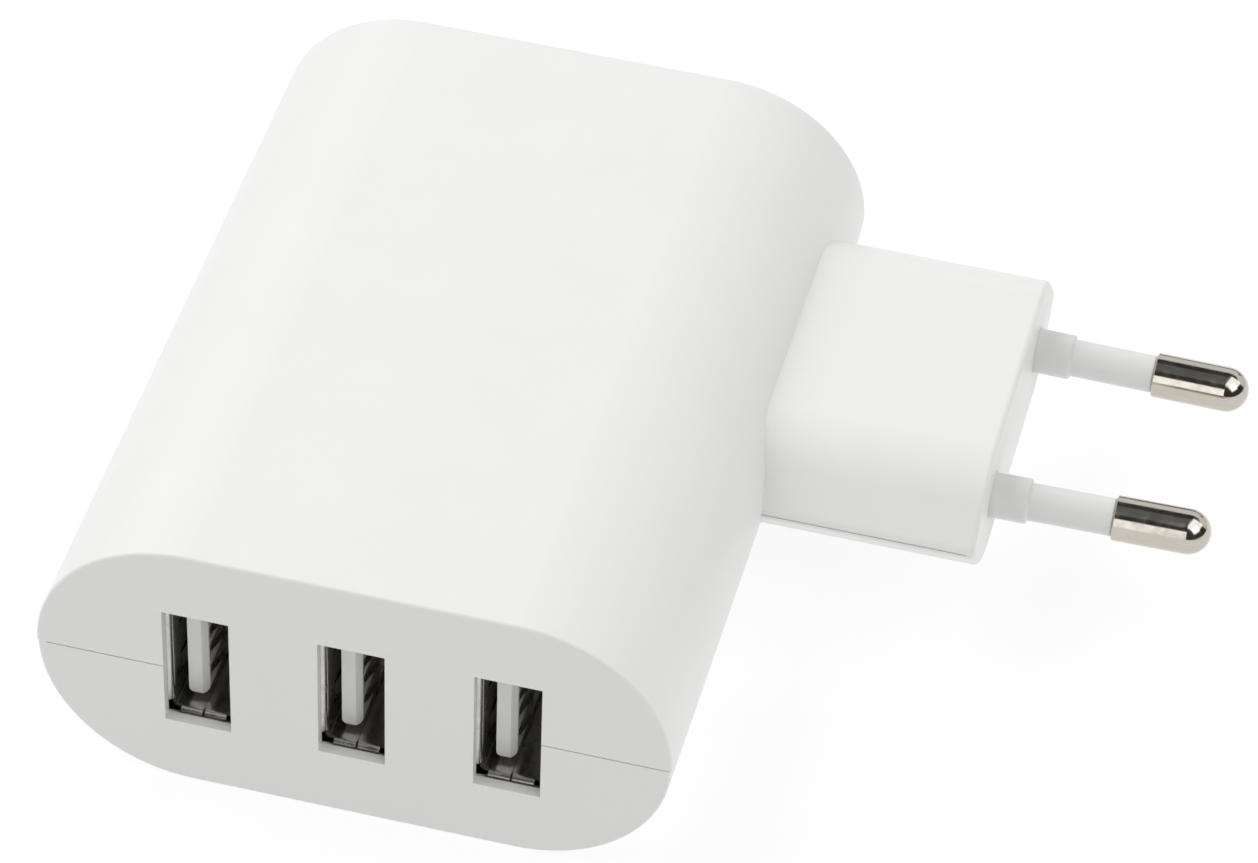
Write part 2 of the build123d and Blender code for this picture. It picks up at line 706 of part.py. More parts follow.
def surface_chip(x, y, width, length, height, rows):
    """A small chip under the board, with flat leads along two sides."""
    with BuildPart() as chip:
        block((x - width / 2, y - length / 2, board_bottom - 0.1 - height),
              (x + width / 2, y + length / 2, board_bottom - 0.1))
        chamfer(chip.faces().sort_by(Axis.Z)[0].edges(), length=0.2)
        for side in (-1, 1):
            for row in range(rows):
                lead_y = y + (row - (rows - 1) / 2) * 1.27
                inner = side * (width / 2 - 0.2)
                outer = side * (width / 2 + 1.0)
                block((x + min(inner, outer), lead_y - 0.2, board_bottom - 0.3),
                      (x + max(inner, outer), lead_y + 0.2, board_bottom))
    return chip.part


save(surface_chip(-6.5, 15.6, 3.9, 4.9, 1.5, 4), "switching_controller")
save(surface_chip(8.0, -17.8, 3.0, 3.0, 1.1, 2), "port_controller")

# Leads, one piece of tinned wire each, and their solder fillets under the board
with BuildPart() as component_leads:
    for x, y, top in leads:
        upright(x, y, lead_end, top, 0.3)
save(component_leads.part, "component_leads")

with BuildPart() as solder_joints:
    for x, y, top in leads:
        with Locations((x, y, board_bottom - 0.3)):
            Cone(0.45, 0.95, 0.6)
        upright(x, y, lead_end, board_bottom + 0.1, 0.3, Mode.SUBTRACT)
save(solder_joints.part, "solder_joints")

# ---------------------------------------------------------------- mains leads


def mains_wire(points, radius):
    """An insulated wire along straight runs with rounded corners."""
    with BuildPart() as wire:
        with BuildLine() as path:
            FilletPolyline(*points, radius=radius)
        with BuildSketch(Plane(origin=path.line @ 0, z_dir=path.line % 0)):
            Circle(0.8)
        sweep()
    return wire.part


def pin_back(side):
    """The middle of a pin's rear end."""
    reach = -pin_tail
    return (
        plug_end_x + reach * cos(radians(pin_tilt)),
        plug_y + side * (pin_spacing / 2 - reach * sin(radians(pin_tilt))),
        parting_height,
    )


live_end = (20.2, 13.2)
neutral_end = (20.2, 16.0)
back_x, back_y, back_z = pin_back(-1)
save(
    mains_wire([(back_x, back_y, back_z), (31.0, back_y, back_z), (23.4, 9.6, 12.6),
                (live_end[0], live_end[1], 10.6), (live_end[0], live_end[1], board_top)],
               [4.0, 3.0, 0.8]),
    "wire_live",
)
back_x, back_y, back_z = pin_back(1)
save(
    mains_wire([(back_x, back_y, back_z), (31.0, back_y, back_z), (24.8, 18.8, 12.4),
                (neutral_end[0], neutral_end[1], 10.6), (neutral_end[0], neutral_end[1], board_top)],
               [3.5, 2.0, 0.8]),
    "wire_neutral",
)

# ---------------------------------------------------------------- board and sheet

with BuildPart() as main_board:
    block((-board_width / 2, board_front, board_bottom), (board_width / 2, board_back, board_top))
    fillet(main_board.edges().filter_by(Axis.Z), radius=1.0)
    for x in (-17.5, 17.5):
        for y in (-28.5, 29.0):
            upright(x, y, board_bottom - 1, board_top + 1, 0.65, Mode.SUBTRACT)
    for x, y, top in leads:
        upright(x, y, board_bottom - 1, board_top + 1, 0.3, Mode.SUBTRACT)
    # slot that keeps the mains side and the output side apart
    block((-9.0, -6.0, board_bottom - 1), (14.0, -5.0, board_top + 1), Mode.SUBTRACT)
    for part in shells + contact_sets:
        add(part, mode=Mode.SUBTRACT)
save(main_board.part, "main_board")

with BuildPart() as insulation_sheet:
    block((-14.0, -31.0, cavity_floor), (14.0, 31.0, cavity_floor + 0.25))
save(insulation_sheet.part, "insulation_sheet")
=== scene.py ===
"""A three-port USB wall charger with a two-pin mains plug: finishes, studio and camera.

The CAD parts come in as a fixed frame and keep their places and shapes. The operators below give each
of them the material that the real part is made of, and set up the table, the lights and the camera.
"""
import math

import bpy
from bpy.props import FloatProperty, FloatVectorProperty, PointerProperty
from mathutils import Matrix, Vector


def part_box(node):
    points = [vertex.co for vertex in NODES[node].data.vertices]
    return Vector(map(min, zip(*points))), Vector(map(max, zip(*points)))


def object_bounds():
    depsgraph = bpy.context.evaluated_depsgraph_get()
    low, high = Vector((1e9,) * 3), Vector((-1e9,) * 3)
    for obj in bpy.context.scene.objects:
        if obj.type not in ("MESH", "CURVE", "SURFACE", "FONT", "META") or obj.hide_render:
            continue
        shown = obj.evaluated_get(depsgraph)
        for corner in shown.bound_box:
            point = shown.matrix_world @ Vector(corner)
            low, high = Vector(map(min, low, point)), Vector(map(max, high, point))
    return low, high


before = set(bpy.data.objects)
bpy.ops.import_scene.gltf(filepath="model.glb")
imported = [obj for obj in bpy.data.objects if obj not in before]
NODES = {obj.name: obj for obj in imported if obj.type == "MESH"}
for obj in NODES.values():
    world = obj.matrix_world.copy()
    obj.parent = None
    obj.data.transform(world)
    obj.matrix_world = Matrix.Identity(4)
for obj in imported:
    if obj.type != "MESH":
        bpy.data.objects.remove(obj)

bl_info = {
    "name": "USB wall charger",
    "version": (1, 0, 0),
    "blender": (4, 5, 0),
    "location": "3D View > Sidebar > Charger",
    "description": "Finishes, studio and camera for a three-port USB wall charger",
    "category": "Object",
}

MM = 0.001
PORTS = (1, 2, 3)
CAD_LOW, CAD_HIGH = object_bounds()

# Stretch of a pattern: a tenth of the scale along an axis draws it ten times as long that way
ALONG_PINS = (0.1, 1.0, 1.0)
INTO_PORTS = (1.0, 0.1, 1.0)
UPWARDS = (1.0, 1.0, 0.1)
EVEN = (1.0, 1.0, 1.0)
FLAT = (1.0, 1.0, 0.0)

# The thickness of a printed or shrunk skin's edge, where one finish changes to the next, in millimetres
SKIN = 0.02


# ---------------------------------------------------------------- materials


def linear(code):
    """An sRGB hex colour as linear red, green, blue and alpha."""
    channels = [int(code[i:i + 2], 16) / 255 for i in (1, 3, 5)]
    curve = [c / 12.92 if c <= 0.04045 else ((c + 0.055) / 1.055) ** 2.4 for c in channels]
    return (*curve, 1.0)


def darker(colour, share):
    """A linear colour with a share of its light taken away."""
    return (*[c * (1.0 - share) for c in colour[:3]], 1.0)


def per_metre(size):
    """The texture scale whose pattern repeats about every size, in millimetres."""
    return 1.0 / (size * MM)


def add_node(tree, kind, settings=None, sockets=None):
    """Adds a shader node, sets its settings and its sockets, and links the sockets given an output."""
    node = tree.nodes.new(kind)
    for name, value in (settings or {}).items():
        setattr(node, name, value)
    for key, value in (sockets or {}).items():
        if isinstance(value, bpy.types.NodeSocket):
            tree.links.new(value, node.inputs[key])
        else:
            node.inputs[key].default_value = value
    return node


def new_material(name, sockets):
    """A material with a shader whose sockets are set, its node tree and its shader."""
    material = bpy.data.materials.new(name)
    material.use_nodes = True
    tree = material.node_tree
    tree.nodes.clear()
    shader = add_node(tree, "ShaderNodeBsdfPrincipled", sockets=sockets)
    output = add_node(tree, "ShaderNodeOutputMaterial")
    tree.links.new(shader.outputs["BSDF"], output.inputs["Surface"])
    return material, tree, shader


def place(tree, stretch=EVEN, centre=(0, 0, 0)):
    """The charger's own coordinates, from a centre in millimetres, stretched."""
    coordinates = add_node(tree, "ShaderNodeTexCoord")
    moved = add_node(tree, "ShaderNodeMapping", settings={"vector_type": "POINT"}, sockets={
        "Vector": coordinates.outputs["Object"],
        "Location": [-c * MM * s for c, s in zip(centre, stretch)], "Scale": stretch})
    return moved.outputs["Vector"]


def grain(tree, size, stretch=EVEN, detail=3.0):
    """Noise with grains of a size in millimetres, as a value from 0 to 1."""
    noise = add_node(tree, "ShaderNodeTexNoise", sockets={
        "Vector": place(tree, stretch), "Scale": per_metre(size), "Detail": detail, "Roughness": 0.55})
    return noise.outputs["Fac"]


def pits(tree, size):
    """Round cells about a size in millimetres apart, 0 at the middle of each."""
    cells = add_node(tree, "ShaderNodeTexVoronoi", sockets={"Vector": place(tree), "Scale": per_metre(size)})
    return cells.outputs["Distance"]


def rows(tree, axis, pitch, waver=0.6):
    """Rounded rows side by side along an axis, a pitch in millimetres apart, such as wire on a former."""
    # A wave texture at scale 1 repeats every 2 pi / 20 of a unit
    wave = add_node(tree, "ShaderNodeTexWave", settings={"bands_direction": axis}, sockets={
        "Vector": place(tree), "Scale": math.pi / 10 * per_metre(pitch), "Distortion": waver, "Detail": 1.0,
        "Detail Scale": 0.1})
    return wave.outputs["Fac"]


def combine(tree, operation, first, second):
    """One value made from two by a maths operation."""
    node = add_node(tree, "ShaderNodeMath", settings={"operation": operation}, sockets={
        0: first, 1: second})
    return node.outputs[0]


def turns(tree, centre, count):
    """A count of rounded rows that fan out round an upright axis, such as wire on a ring."""
    angle = add_node(tree, "ShaderNodeTexGradient", settings={"gradient_type": "RADIAL"}, sockets={
        "Vector": place(tree, centre=centre)})
    steps = combine(tree, "MULTIPLY", angle.outputs["Fac"], count)
    return combine(tree, "PINGPONG", steps, 0.5)


def past(tree, axis, start, end):
    """0 before a start and 1 after an end along an axis, both in millimetres."""
    split = add_node(tree, "ShaderNodeSeparateXYZ", sockets={"Vector": place(tree)})
    return spread(tree, split.outputs[axis], 0.0, 1.0, start * MM, end * MM)


def spread(tree, value, low, high, low_in=0.3, high_in=0.7):
    """Brings a pattern to a range."""
    node = add_node(tree, "ShaderNodeMapRange", sockets={
        "Value": value, "From Min": low_in, "From Max": high_in, "To Min": low, "To Max": high})
    return node.outputs["Result"]


def relief(tree, height, depth, below=None):
    """Bump from a height pattern, depth in millimetres, on top of another bump."""
    sockets = {"Height": height, "Strength": 1.0, "Distance": depth * MM}
    if below is not None:
        sockets["Normal"] = below
    return add_node(tree, "ShaderNodeBump", sockets=sockets).outputs["Normal"]


def tint(tree, value, first, second):
    """A colour that goes from one linear colour to another, or to another colour pattern."""
    node = add_node(tree, "ShaderNodeMix", settings={"data_type": "RGBA"})
    for key, wanted in (("Factor_Float", value), ("A_Color", first), ("B_Color", second)):
        socket = next(s for s in node.inputs if s.identifier == key)
        if isinstance(wanted, bpy.types.NodeSocket):
            tree.links.new(wanted, socket)
        else:
            socket.default_value = wanted
    return next(s for s in node.outputs if s.identifier == "Result_Color")


def connect(tree, shader, **patterns):
    """Links patterns to the shader's sockets, named with _ for a space."""
    for name, pattern in patterns.items():
        tree.links.new(pattern, shader.inputs[name.replace("_", " ")])


# Sizes in millimetres of the slow changes in tone and gloss over a moulding and over a metal part
MOULDING_PATCH = 9.0
METAL_PATCH = 3.0


def moulded(name, first, second, rough, size=0.35, depth=0.002, sockets=None):
    """Moulded plastic or another even, non-metal surface: fine grain and slightly uneven tone and gloss."""
    base = {"IOR": 1.5}
    base.update(sockets or {})
    material, tree, shader = new_material(name, base)
    broad = grain(tree, MOULDING_PATCH, detail=2.0)
    connect(tree, shader, Base_Color=tint(tree, spread(tree, broad, 0.0, 1.0), first, second),
            Roughness=spread(tree, broad, *rough), Normal=relief(tree, grain(tree, size), depth))
    return material


def metal(name, first, second, rough, stretch=EVEN, size=0.3, depth=0.0015, sockets=None):
    """Metal: streaks along the way it was drawn, rolled or turned, in tone, gloss and relief."""
    base = {"Metallic": 1.0}
    base.update(sockets or {})
    material, tree, shader = new_material(name, base)
    streaks = grain(tree, size, stretch)
    broad = grain(tree, METAL_PATCH, detail=2.0)
    connect(tree, shader, Base_Color=tint(tree, spread(tree, broad, 0.0, 1.0), first, second),
            Roughness=spread(tree, streaks, *rough), Normal=relief(tree, streaks, depth))
    return material


def wound(name, first, second, pattern_of, depth, rough=(0.2, 0.32)):
    """Wire wound in rows, with painted shade darkening the gaps between the turns: the pattern is made by a
    function of the node tree.
    """
    enamel = {"Metallic": 1.0, "Coat Weight": 0.7, "Coat Roughness": 0.12}
    material, tree, shader = new_material(name, enamel)
    pattern = pattern_of(tree)
    broad = grain(tree, 1.5, detail=2.0)
    # Painted shade: the colour darkens where the bump sinks between turns
    connect(tree, shader, Base_Color=tint(tree, spread(tree, pattern, 0.0, 1.0, 0.0, 0.45), first, second),
            Roughness=spread(tree, broad, *rough), Normal=relief(tree, pattern, depth))
    return material


def dress(material, *names):
    """Gives CAD nodes a material."""
    for name in names:
        mesh = NODES[name].data
        mesh.materials.clear()
        mesh.materials.append(material)


# ---------------------------------------------------------------- studio

TABLE_REACH = 3.0
TABLE_GAP = 0.1 * MM
CAMERA_PLACE = (94.48 * MM, -347.60 * MM, 355.92 * MM)
CAMERA_RIGHT = (0.96773, 0.25039, 0.02841)
CAMERA_UP = (-0.19287, 0.66339, 0.72299)
SENSOR_WIDTH = 36.0
SOFTBOX_DISTANCE = 1.0
# Name, azimuth and elevation of the middle, width and height in degrees as the charger sees them, and
# brightness. Azimuth 0 is the port side and 90 the pin side. The box overhead is dim, so the pins keep a
# dark band between their lit edges.
SOFTBOXES = (
    ("left_low", 262, 14, 66, 26, 0.65),
    ("left_high", 268, 50, 62, 44, 2.3),
    ("back_left", 218, 30, 36, 50, 1.05),
    ("back", 174, 26, 40, 36, 0.85),
    ("back_right", 130, 20, 40, 36, 0.85),
    ("right_high", 78, 56, 62, 50, 1.5),
    ("front_right", 60, 42, 34, 30, 1.15),
    ("front_strip", 356, 19, 10, 40, 1.7),
    ("overhead", 0, 86, 60, 44, 0.1),
)


def softbox(name, azimuth, elevation, width, height, strength):
    """A rectangular light facing the charger, sized by the angles that it spans."""
    turn = math.radians(azimuth)
    rise = math.radians(elevation)
    away = Vector((math.sin(turn) * math.cos(rise), -math.cos(turn) * math.cos(rise), math.sin(rise)))
    across = Vector((math.cos(turn), math.sin(turn), 0))
    light = bpy.data.lights.new(name, "AREA")
    light.shape = "RECTANGLE"
    light.size = 2 * SOFTBOX_DISTANCE * math.tan(math.radians(width / 2))
    light.size_y = 2 * SOFTBOX_DISTANCE * math.tan(math.radians(height / 2))
    light.energy = math.pi * light.size * light.size_y * strength
    lamp = bpy.data.objects.new(name, light)
    middle = (CAD_LOW + CAD_HIGH) / 2
    pose = Matrix((across, away.cross(across), away)).transposed().to_4x4()
    pose.translation = middle + away * SOFTBOX_DISTANCE
    lamp.matrix_world = pose
    bpy.context.scene.collection.objects.link(lamp)
    return lamp


# ---------------------------------------------------------------- settings


def colour(name, code, description):
    """A colour that a user can change."""
    return FloatVectorProperty(name=name, description=description, default=linear(code), size=4, min=0.0,
                               max=1.0, subtype="COLOR")


def size(name, millimetres, description):
    """A length that a user can change."""
    return FloatProperty(name=name, description=description, default=millimetres * MM, min=1e-6,
                         subtype="DISTANCE", unit="LENGTH", precision=5)


class ChargerColours(bpy.types.PropertyGroup):
    housing: colour("Housing", "#E8E8E6", "Colour of the housing's ABS")
    sleeve: colour("Sleeves", "#DEDEDD", "Colour of the plastic sleeves on the pins")
    pin: colour("Pins", "#CBC5BB", "Colour of the pins' nickel plate")
    port: colour("Port shells", "#C6C3BE", "Colour of the receptacles' plated steel")
    tongue: colour("Tongues", "#F6F6F4", "Colour of the receptacles' plastic")
    board: colour("Board", "#1E6B3A", "Colour of the circuit board's lacquer")
    copper: colour("Windings", "#B5652F", "Colour of the enamelled copper wire")


class ChargerTextures(bpy.types.PropertyGroup):
    housing_grain: size("Housing grain", 0.12, "Size of the spark-eroded grain in the housing's mould")
    pin_lines: size("Pin lines", 0.16, "Distance between the drawing lines along the pins")
    port_lines: size("Port lines", 0.25, "Distance between the rolling lines in the port steel")
    wire_pitch: size("Wire pitch", 0.4, "Distance between neighbouring turns of winding wire")


class ChargerStudio(bpy.types.PropertyGroup):
    strength: FloatProperty(name="Softboxes", description="Brightness of all softboxes together",
                            default=1.0, min=0.0)
    surroundings: FloatProperty(name="Surroundings", description="Brightness of the room", default=0.04,
                                min=0.0)
    table_glow: FloatProperty(name="Table glow", description="Light that the table gives by itself",
                              default=0.8, min=0.0)
    focal_length: FloatProperty(name="Focal length", description="Focal length of the camera",
                                default=161.9, min=1.0, subtype="DISTANCE_CAMERA")


# ---------------------------------------------------------------- operators


class CHARGER_OT_housing(bpy.types.Operator):
    """Finishes the two halves of the housing and the plate that carries the pins"""
    bl_idname = "charger.housing"
    bl_label = "Housing"

    def execute(self, context):
        shade = context.scene.charger_colours.housing
        cell = context.scene.charger_textures.housing_grain / MM
        # ABS, moulded in a fine spark-eroded mould: satin, with broad soft highlights. The grain is so
        # fine that it only takes the edge off the highlights.
        plastic = moulded("ABS, satin moulded", shade, darker(shade, 0.012), (0.34, 0.42), size=cell,
                          depth=0.0006)
        dress(plastic, "top_shell", "bottom_shell", "pin_plate")
        return {"FINISHED"}


class CHARGER_OT_pins(bpy.types.Operator):
    """Finishes the mains pins and their insulating sleeves"""
    bl_idname = "charger.pins"
    bl_label = "Pins and sleeves"

    def execute(self, context):
        colours = context.scene.charger_colours
        lines = context.scene.charger_textures.pin_lines / MM
        # Polyester, moulded in a polished mould: smoother and a little greyer than the housing
        sleeve = moulded("Polyester, gloss moulded", colours.sleeve, darker(colours.sleeve, 0.02),
                         (0.28, 0.36), size=0.5, depth=0.0008)
        dress(sleeve, "pin_sleeve_1", "pin_sleeve_2")

        # Nickel plate on drawn brass: a mirror with faint lines along the pin, slightly warm, and small
        # marks from the plating barrel
        nickel, tree, shader = new_material("Nickel plate on drawn brass", {"Metallic": 1.0})
        drawn = grain(tree, lines, ALONG_PINS)
        marks = grain(tree, 0.7, detail=4.0)
        tone = tint(tree, spread(tree, grain(tree, 2.5), 0.0, 1.0), colours.pin, darker(colours.pin, 0.06))
        connect(tree, shader, Base_Color=tint(tree, spread(tree, drawn, 0.0, 0.35), tone,
                                              darker(colours.pin, 0.22)),
                Roughness=spread(tree, marks, 0.09, 0.19),
                Normal=relief(tree, marks, 0.0007, relief(tree, drawn, 0.0005)))
        dress(nickel, "pin_1", "pin_2")
        return {"FINISHED"}


class CHARGER_OT_ports(bpy.types.Operator):
    """Finishes the three receptacles: steel shell, plastic tongue and contacts"""
    bl_idname = "charger.ports"
    bl_label = "Ports"

    def execute(self, context):
        colours = context.scene.charger_colours
        lines = context.scene.charger_textures.port_lines / MM
        # Steel strip, stamped and nickel plated: rolling lines into the port, and a mottled, half-dull
        # mirror where the press stretched it
        steel, tree, shader = new_material("Steel strip, stamped and nickel plated", {"Metallic": 1.0})
        rolled = grain(tree, lines, INTO_PORTS)
        mottle = grain(tree, 1.1, detail=3.0)
        tone = tint(tree, spread(tree, mottle, 0.0, 1.0), colours.port, darker(colours.port, 0.14))
        connect(tree, shader, Base_Color=tone, Roughness=spread(tree, mottle, 0.14, 0.3),
                Normal=relief(tree, mottle, 0.0022, relief(tree, rolled, 0.0012)))

        # Glass-filled polyester, moulded: even off-white, less glossy than the housing
        tongue = moulded("Glass-filled polyester, moulded", colours.tongue, darker(colours.tongue, 0.03),
                         (0.4, 0.52), size=0.22, depth=0.0015)
        # Phosphor bronze strip, tin plated, with its gold flash on the sprung ends: a dull warm grey
        contact = metal("Phosphor bronze strip, plated", linear("#BDB8AE"), linear("#A8A39A"), (0.24, 0.38),
                        INTO_PORTS, size=0.15, depth=0.0008)
        for port in PORTS:
            dress(steel, f"usb_shell_{port}")
            dress(tongue, f"usb_insulator_{port}")
            dress(contact, f"usb_contacts_{port}")
        return {"FINISHED"}


class CHARGER_OT_board(bpy.types.Operator):
    """Finishes the circuit board, its solder and leads, and the film under it"""
    bl_idname = "charger.board"
    bl_label = "Circuit board"

    def execute(self, context):
        colours = context.scene.charger_colours
        low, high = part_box("main_board")
        bottom = low.z / MM
        top = high.z / MM
        area_size = 5.0
        track_pitch = 1.6
        weave_pitch = 0.5
        copper_thickness = 0.03

        # Glass-fibre laminate, lacquered: glossy green, with the copper under it showing as paler, raised
        # areas and tracks. The sawn edge shows the bare yellowish laminate.
        laminate, tree, shader = new_material("Glass-fibre laminate, lacquered", {"IOR": 1.52})
        areas = add_node(tree, "ShaderNodeTexVoronoi", settings={"distance": "CHEBYCHEV"}, sockets={
            "Vector": place(tree, FLAT), "Scale": per_metre(area_size), "Randomness": 0.8})
        pick = add_node(tree, "ShaderNodeSeparateColor", sockets={"Color": areas.outputs["Color"]})
        solid = spread(tree, pick.outputs["Red"], 0.0, 1.0, 0.45, 0.46)
        ruled = spread(tree, pick.outputs["Green"], 0.0, 1.0, 0.5, 0.51)
        tracks = spread(tree, rows(tree, "X", track_pitch, 0.0), 0.0, 1.0, 0.35, 0.45)
        tracks = combine(tree, "MULTIPLY", tracks, ruled)
        copper = combine(tree, "MAXIMUM", solid, tracks)
        lacquer = tint(tree, copper, darker(colours.board, 0.45), colours.board)
        weave = add_node(tree, "ShaderNodeTexChecker", sockets={
            "Vector": place(tree), "Scale": per_metre(weave_pitch), "Color1": linear("#B9B079"),
            "Color2": linear("#A89E66")}).outputs["Color"]
        upper = past(tree, "Z", top - 3 * SKIN, top - 1.5 * SKIN)
        lower = past(tree, "Z", bottom + 3 * SKIN, bottom + 1.5 * SKIN)
        faces = combine(tree, "MAXIMUM", upper, lower)
        connect(tree, shader, Base_Color=tint(tree, faces, weave, lacquer),
                Roughness=spread(tree, faces, 0.7, 0.22, 0.0, 1.0),
                Normal=relief(tree, copper, copper_thickness, relief(tree, grain(tree, 0.4), 0.002)))
        dress(laminate, "main_board")

        # Tin solder, set from the melt: bright fillets with a faintly frosted skin
        solder = metal("Tin solder, wave soldered", linear("#C9C9C6"), linear("#B5B6B4"), (0.16, 0.36),
                       size=0.25, depth=0.003)
        dress(solder, "solder_joints")
        # Copper wire, drawn and tinned: silvery, with lines along it
        lead = metal("Copper wire, drawn and tinned", linear("#C4C3BF"), linear("#B2B1AE"), (0.2, 0.36),
                     UPWARDS, size=0.08, depth=0.001)
        dress(lead, "component_leads")
        # Polyester film, stretched: milky and half clear, with a slight ripple
        film = moulded("Polyester film, stretched", linear("#E3E8E8"), linear("#D8DEDF"), (0.3, 0.45),
                       size=3.0, depth=0.02, sockets={"IOR": 1.6, "Transmission Weight": 0.45})
        dress(film, "insulation_sheet")
        return {"FINISHED"}


class CHARGER_OT_mains_side(bpy.types.Operator):
    """Finishes the parts on the mains side, from the two leads to the switching controller"""
    bl_idname = "charger.mains_side"
    bl_label = "Mains side"

    def execute(self, context):
        copper = context.scene.charger_colours.copper
        turns_on_ring = 90
        stripe_depth = 1.0

        # Soft PVC, extruded: even and slightly waxy, with faint lines along the wire
        for name, code, node in (("Brown PVC, extruded", "#5E3320", "wire_live"),
                                 ("Blue PVC, extruded", "#2B4FA0", "wire_neutral")):
            cover = moulded(name, linear(code), darker(linear(code), 0.12), (0.38, 0.5), size=0.3,
                            depth=0.004)
            dress(cover, node)
        # Polyamide, moulded: brown, half matt
        case = moulded("Brown polyamide, moulded", linear("#5B3A26"), linear("#4F3120"), (0.35, 0.48),
                       size=0.2, depth=0.003)
        dress(case, "fuse")
        # Epoxy lacquer, dipped: thick, glossy and uneven like orange peel
        dipped = moulded("Blue epoxy lacquer, dipped", linear("#2D64B0"), linear("#22549A"), (0.14, 0.26),
                         size=1.1, depth=0.05, sockets={"Coat Weight": 0.4, "Coat Roughness": 0.1})
        dress(dipped, "surge_varistor", "y_capacitor")
        # Polyester box, moulded and filled with resin: yellow, glossy
        box = moulded("Yellow polyester box, moulded", linear("#D9A92C"), linear("#CF9E25"), (0.22, 0.32),
                      size=0.4, depth=0.003)
        dress(box, "x_capacitor")
        # Epoxy powder, baked on the ferrite ring: green, with a soft orange peel
        powder = moulded("Green epoxy powder, baked", linear("#2C7A4A"), linear("#256B40"), (0.3, 0.42),
                         size=0.7, depth=0.02)
        dress(powder, "choke_core")
        # Glass-filled polyester, moulded: black formers, half matt
        former = moulded("Black polyester, moulded", linear("#26272A"), linear("#1E1F22"), (0.4, 0.55),
                         size=0.2, depth=0.004)
        dress(former, "choke_base", "transformer_bobbin")
        # Enamelled copper wire, wound round a ring: each turn shows as a rounded ridge, with painted shade
        # in the gaps between turns
        low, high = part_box("choke_windings")
        middle = [c / MM for c in (low + high) / 2]
        ring = wound("Enamelled copper wire, wound on a ring", darker(copper, 0.75), copper,
                     lambda tree: turns(tree, middle, turns_on_ring), 0.2)
        dress(ring, "choke_windings")

        # Electrolytic capacitors: a black shrunk PVC sleeve with a grey stripe down the negative side,
        # and the bare aluminium end of the can on top
        low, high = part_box("bulk_capacitor_1")
        can, tree, shader = new_material("Black PVC sleeve, shrunk on a can", {"IOR": 1.5})
        stripe = past(tree, "X", low.x / MM + stripe_depth, low.x / MM + 0.9 * stripe_depth)
        sleeve = tint(tree, stripe, linear("#1C1D22"), linear("#9A9CA0"))
        bare = past(tree, "Z", high.z / MM - 2.5 * SKIN, high.z / MM - 1.5 * SKIN)
        connect(tree, shader, Base_Color=tint(tree, bare, sleeve, linear("#B9BABC")), Metallic=bare,
                Roughness=spread(tree, grain(tree, 1.2), 0.18, 0.34),
                Normal=relief(tree, grain(tree, 2.0), 0.02))
        dress(can, "bulk_capacitor_1", "bulk_capacitor_2")

        # Epoxy moulding compound: black, matt, with the fine pits of an eroded mould, each painted darker
        # towards its middle where the bump sinks: painted shade in the pits
        epoxy, tree, shader = new_material("Black epoxy, transfer moulded", {"IOR": 1.55})
        eroded = pits(tree, 0.12)
        # Painted shade: darker towards the middle of each pit
        tone = tint(tree, spread(tree, eroded, 0.0, 1.0, 0.0, 0.7), linear("#1B1B1D"), linear("#29292B"))
        connect(tree, shader, Base_Color=tone, Roughness=spread(tree, grain(tree, 0.8), 0.48, 0.66),
                Normal=relief(tree, eroded, 0.01))
        dress(epoxy, "bridge_rectifier", "switching_controller", "optocoupler", "output_rectifier",
              "port_controller")
        return {"FINISHED"}


class CHARGER_OT_isolation(bpy.types.Operator):
    """Finishes the transformer between the mains side and the output side"""
    bl_idname = "charger.isolation"
    bl_label = "Transformer"

    def execute(self, context):
        copper = context.scene.charger_colours.copper
        pitch = context.scene.charger_textures.wire_pitch / MM
        # Ferrite, pressed and sintered: a dark grey ceramic with fine light specks and pores
        ferrite, tree, shader = new_material("Ferrite, sintered", {"IOR": 2.3})
        pores = pits(tree, 0.25)
        tone = tint(tree, spread(tree, grain(tree, 0.18, detail=4.0), 0.0, 1.0), linear("#3A3B3F"),
                    linear("#54555A"))
        connect(tree, shader, Base_Color=tone, Roughness=spread(tree, grain(tree, 2.0), 0.4, 0.6),
                Normal=relief(tree, pores, 0.012))
        dress(ferrite, "transformer_core", "output_choke_core")

        # Enamelled copper wire, wound in layers: rows of round wire under clear enamel, with painted shade
        # in the gaps between rows
        winding = wound("Enamelled copper wire, wound in layers", darker(copper, 0.75), copper,
                        lambda tree: rows(tree, "Z", pitch), 0.12)
        dress(winding, "transformer_winding", "output_choke_winding")

        # Polyester tape, wound: glossy yellow, half showing the ridges of the wire below it
        tape, tree, shader = new_material("Yellow polyester tape, wound", {
            "IOR": 1.6, "Coat Weight": 0.5, "Coat Roughness": 0.08})
        tape_width = 3.3
        ridges = rows(tree, "Z", pitch)
        edges = rows(tree, "Z", tape_width, 0.2)
        tone = tint(tree, spread(tree, edges, 0.0, 1.0), linear("#D3A21E"), linear("#E3B836"))
        connect(tree, shader, Base_Color=tone, Roughness=spread(tree, grain(tree, 2.0), 0.2, 0.34),
                Normal=relief(tree, ridges, 0.02, relief(tree, edges, 0.05)))
        dress(tape, "transformer_tape")
        return {"FINISHED"}


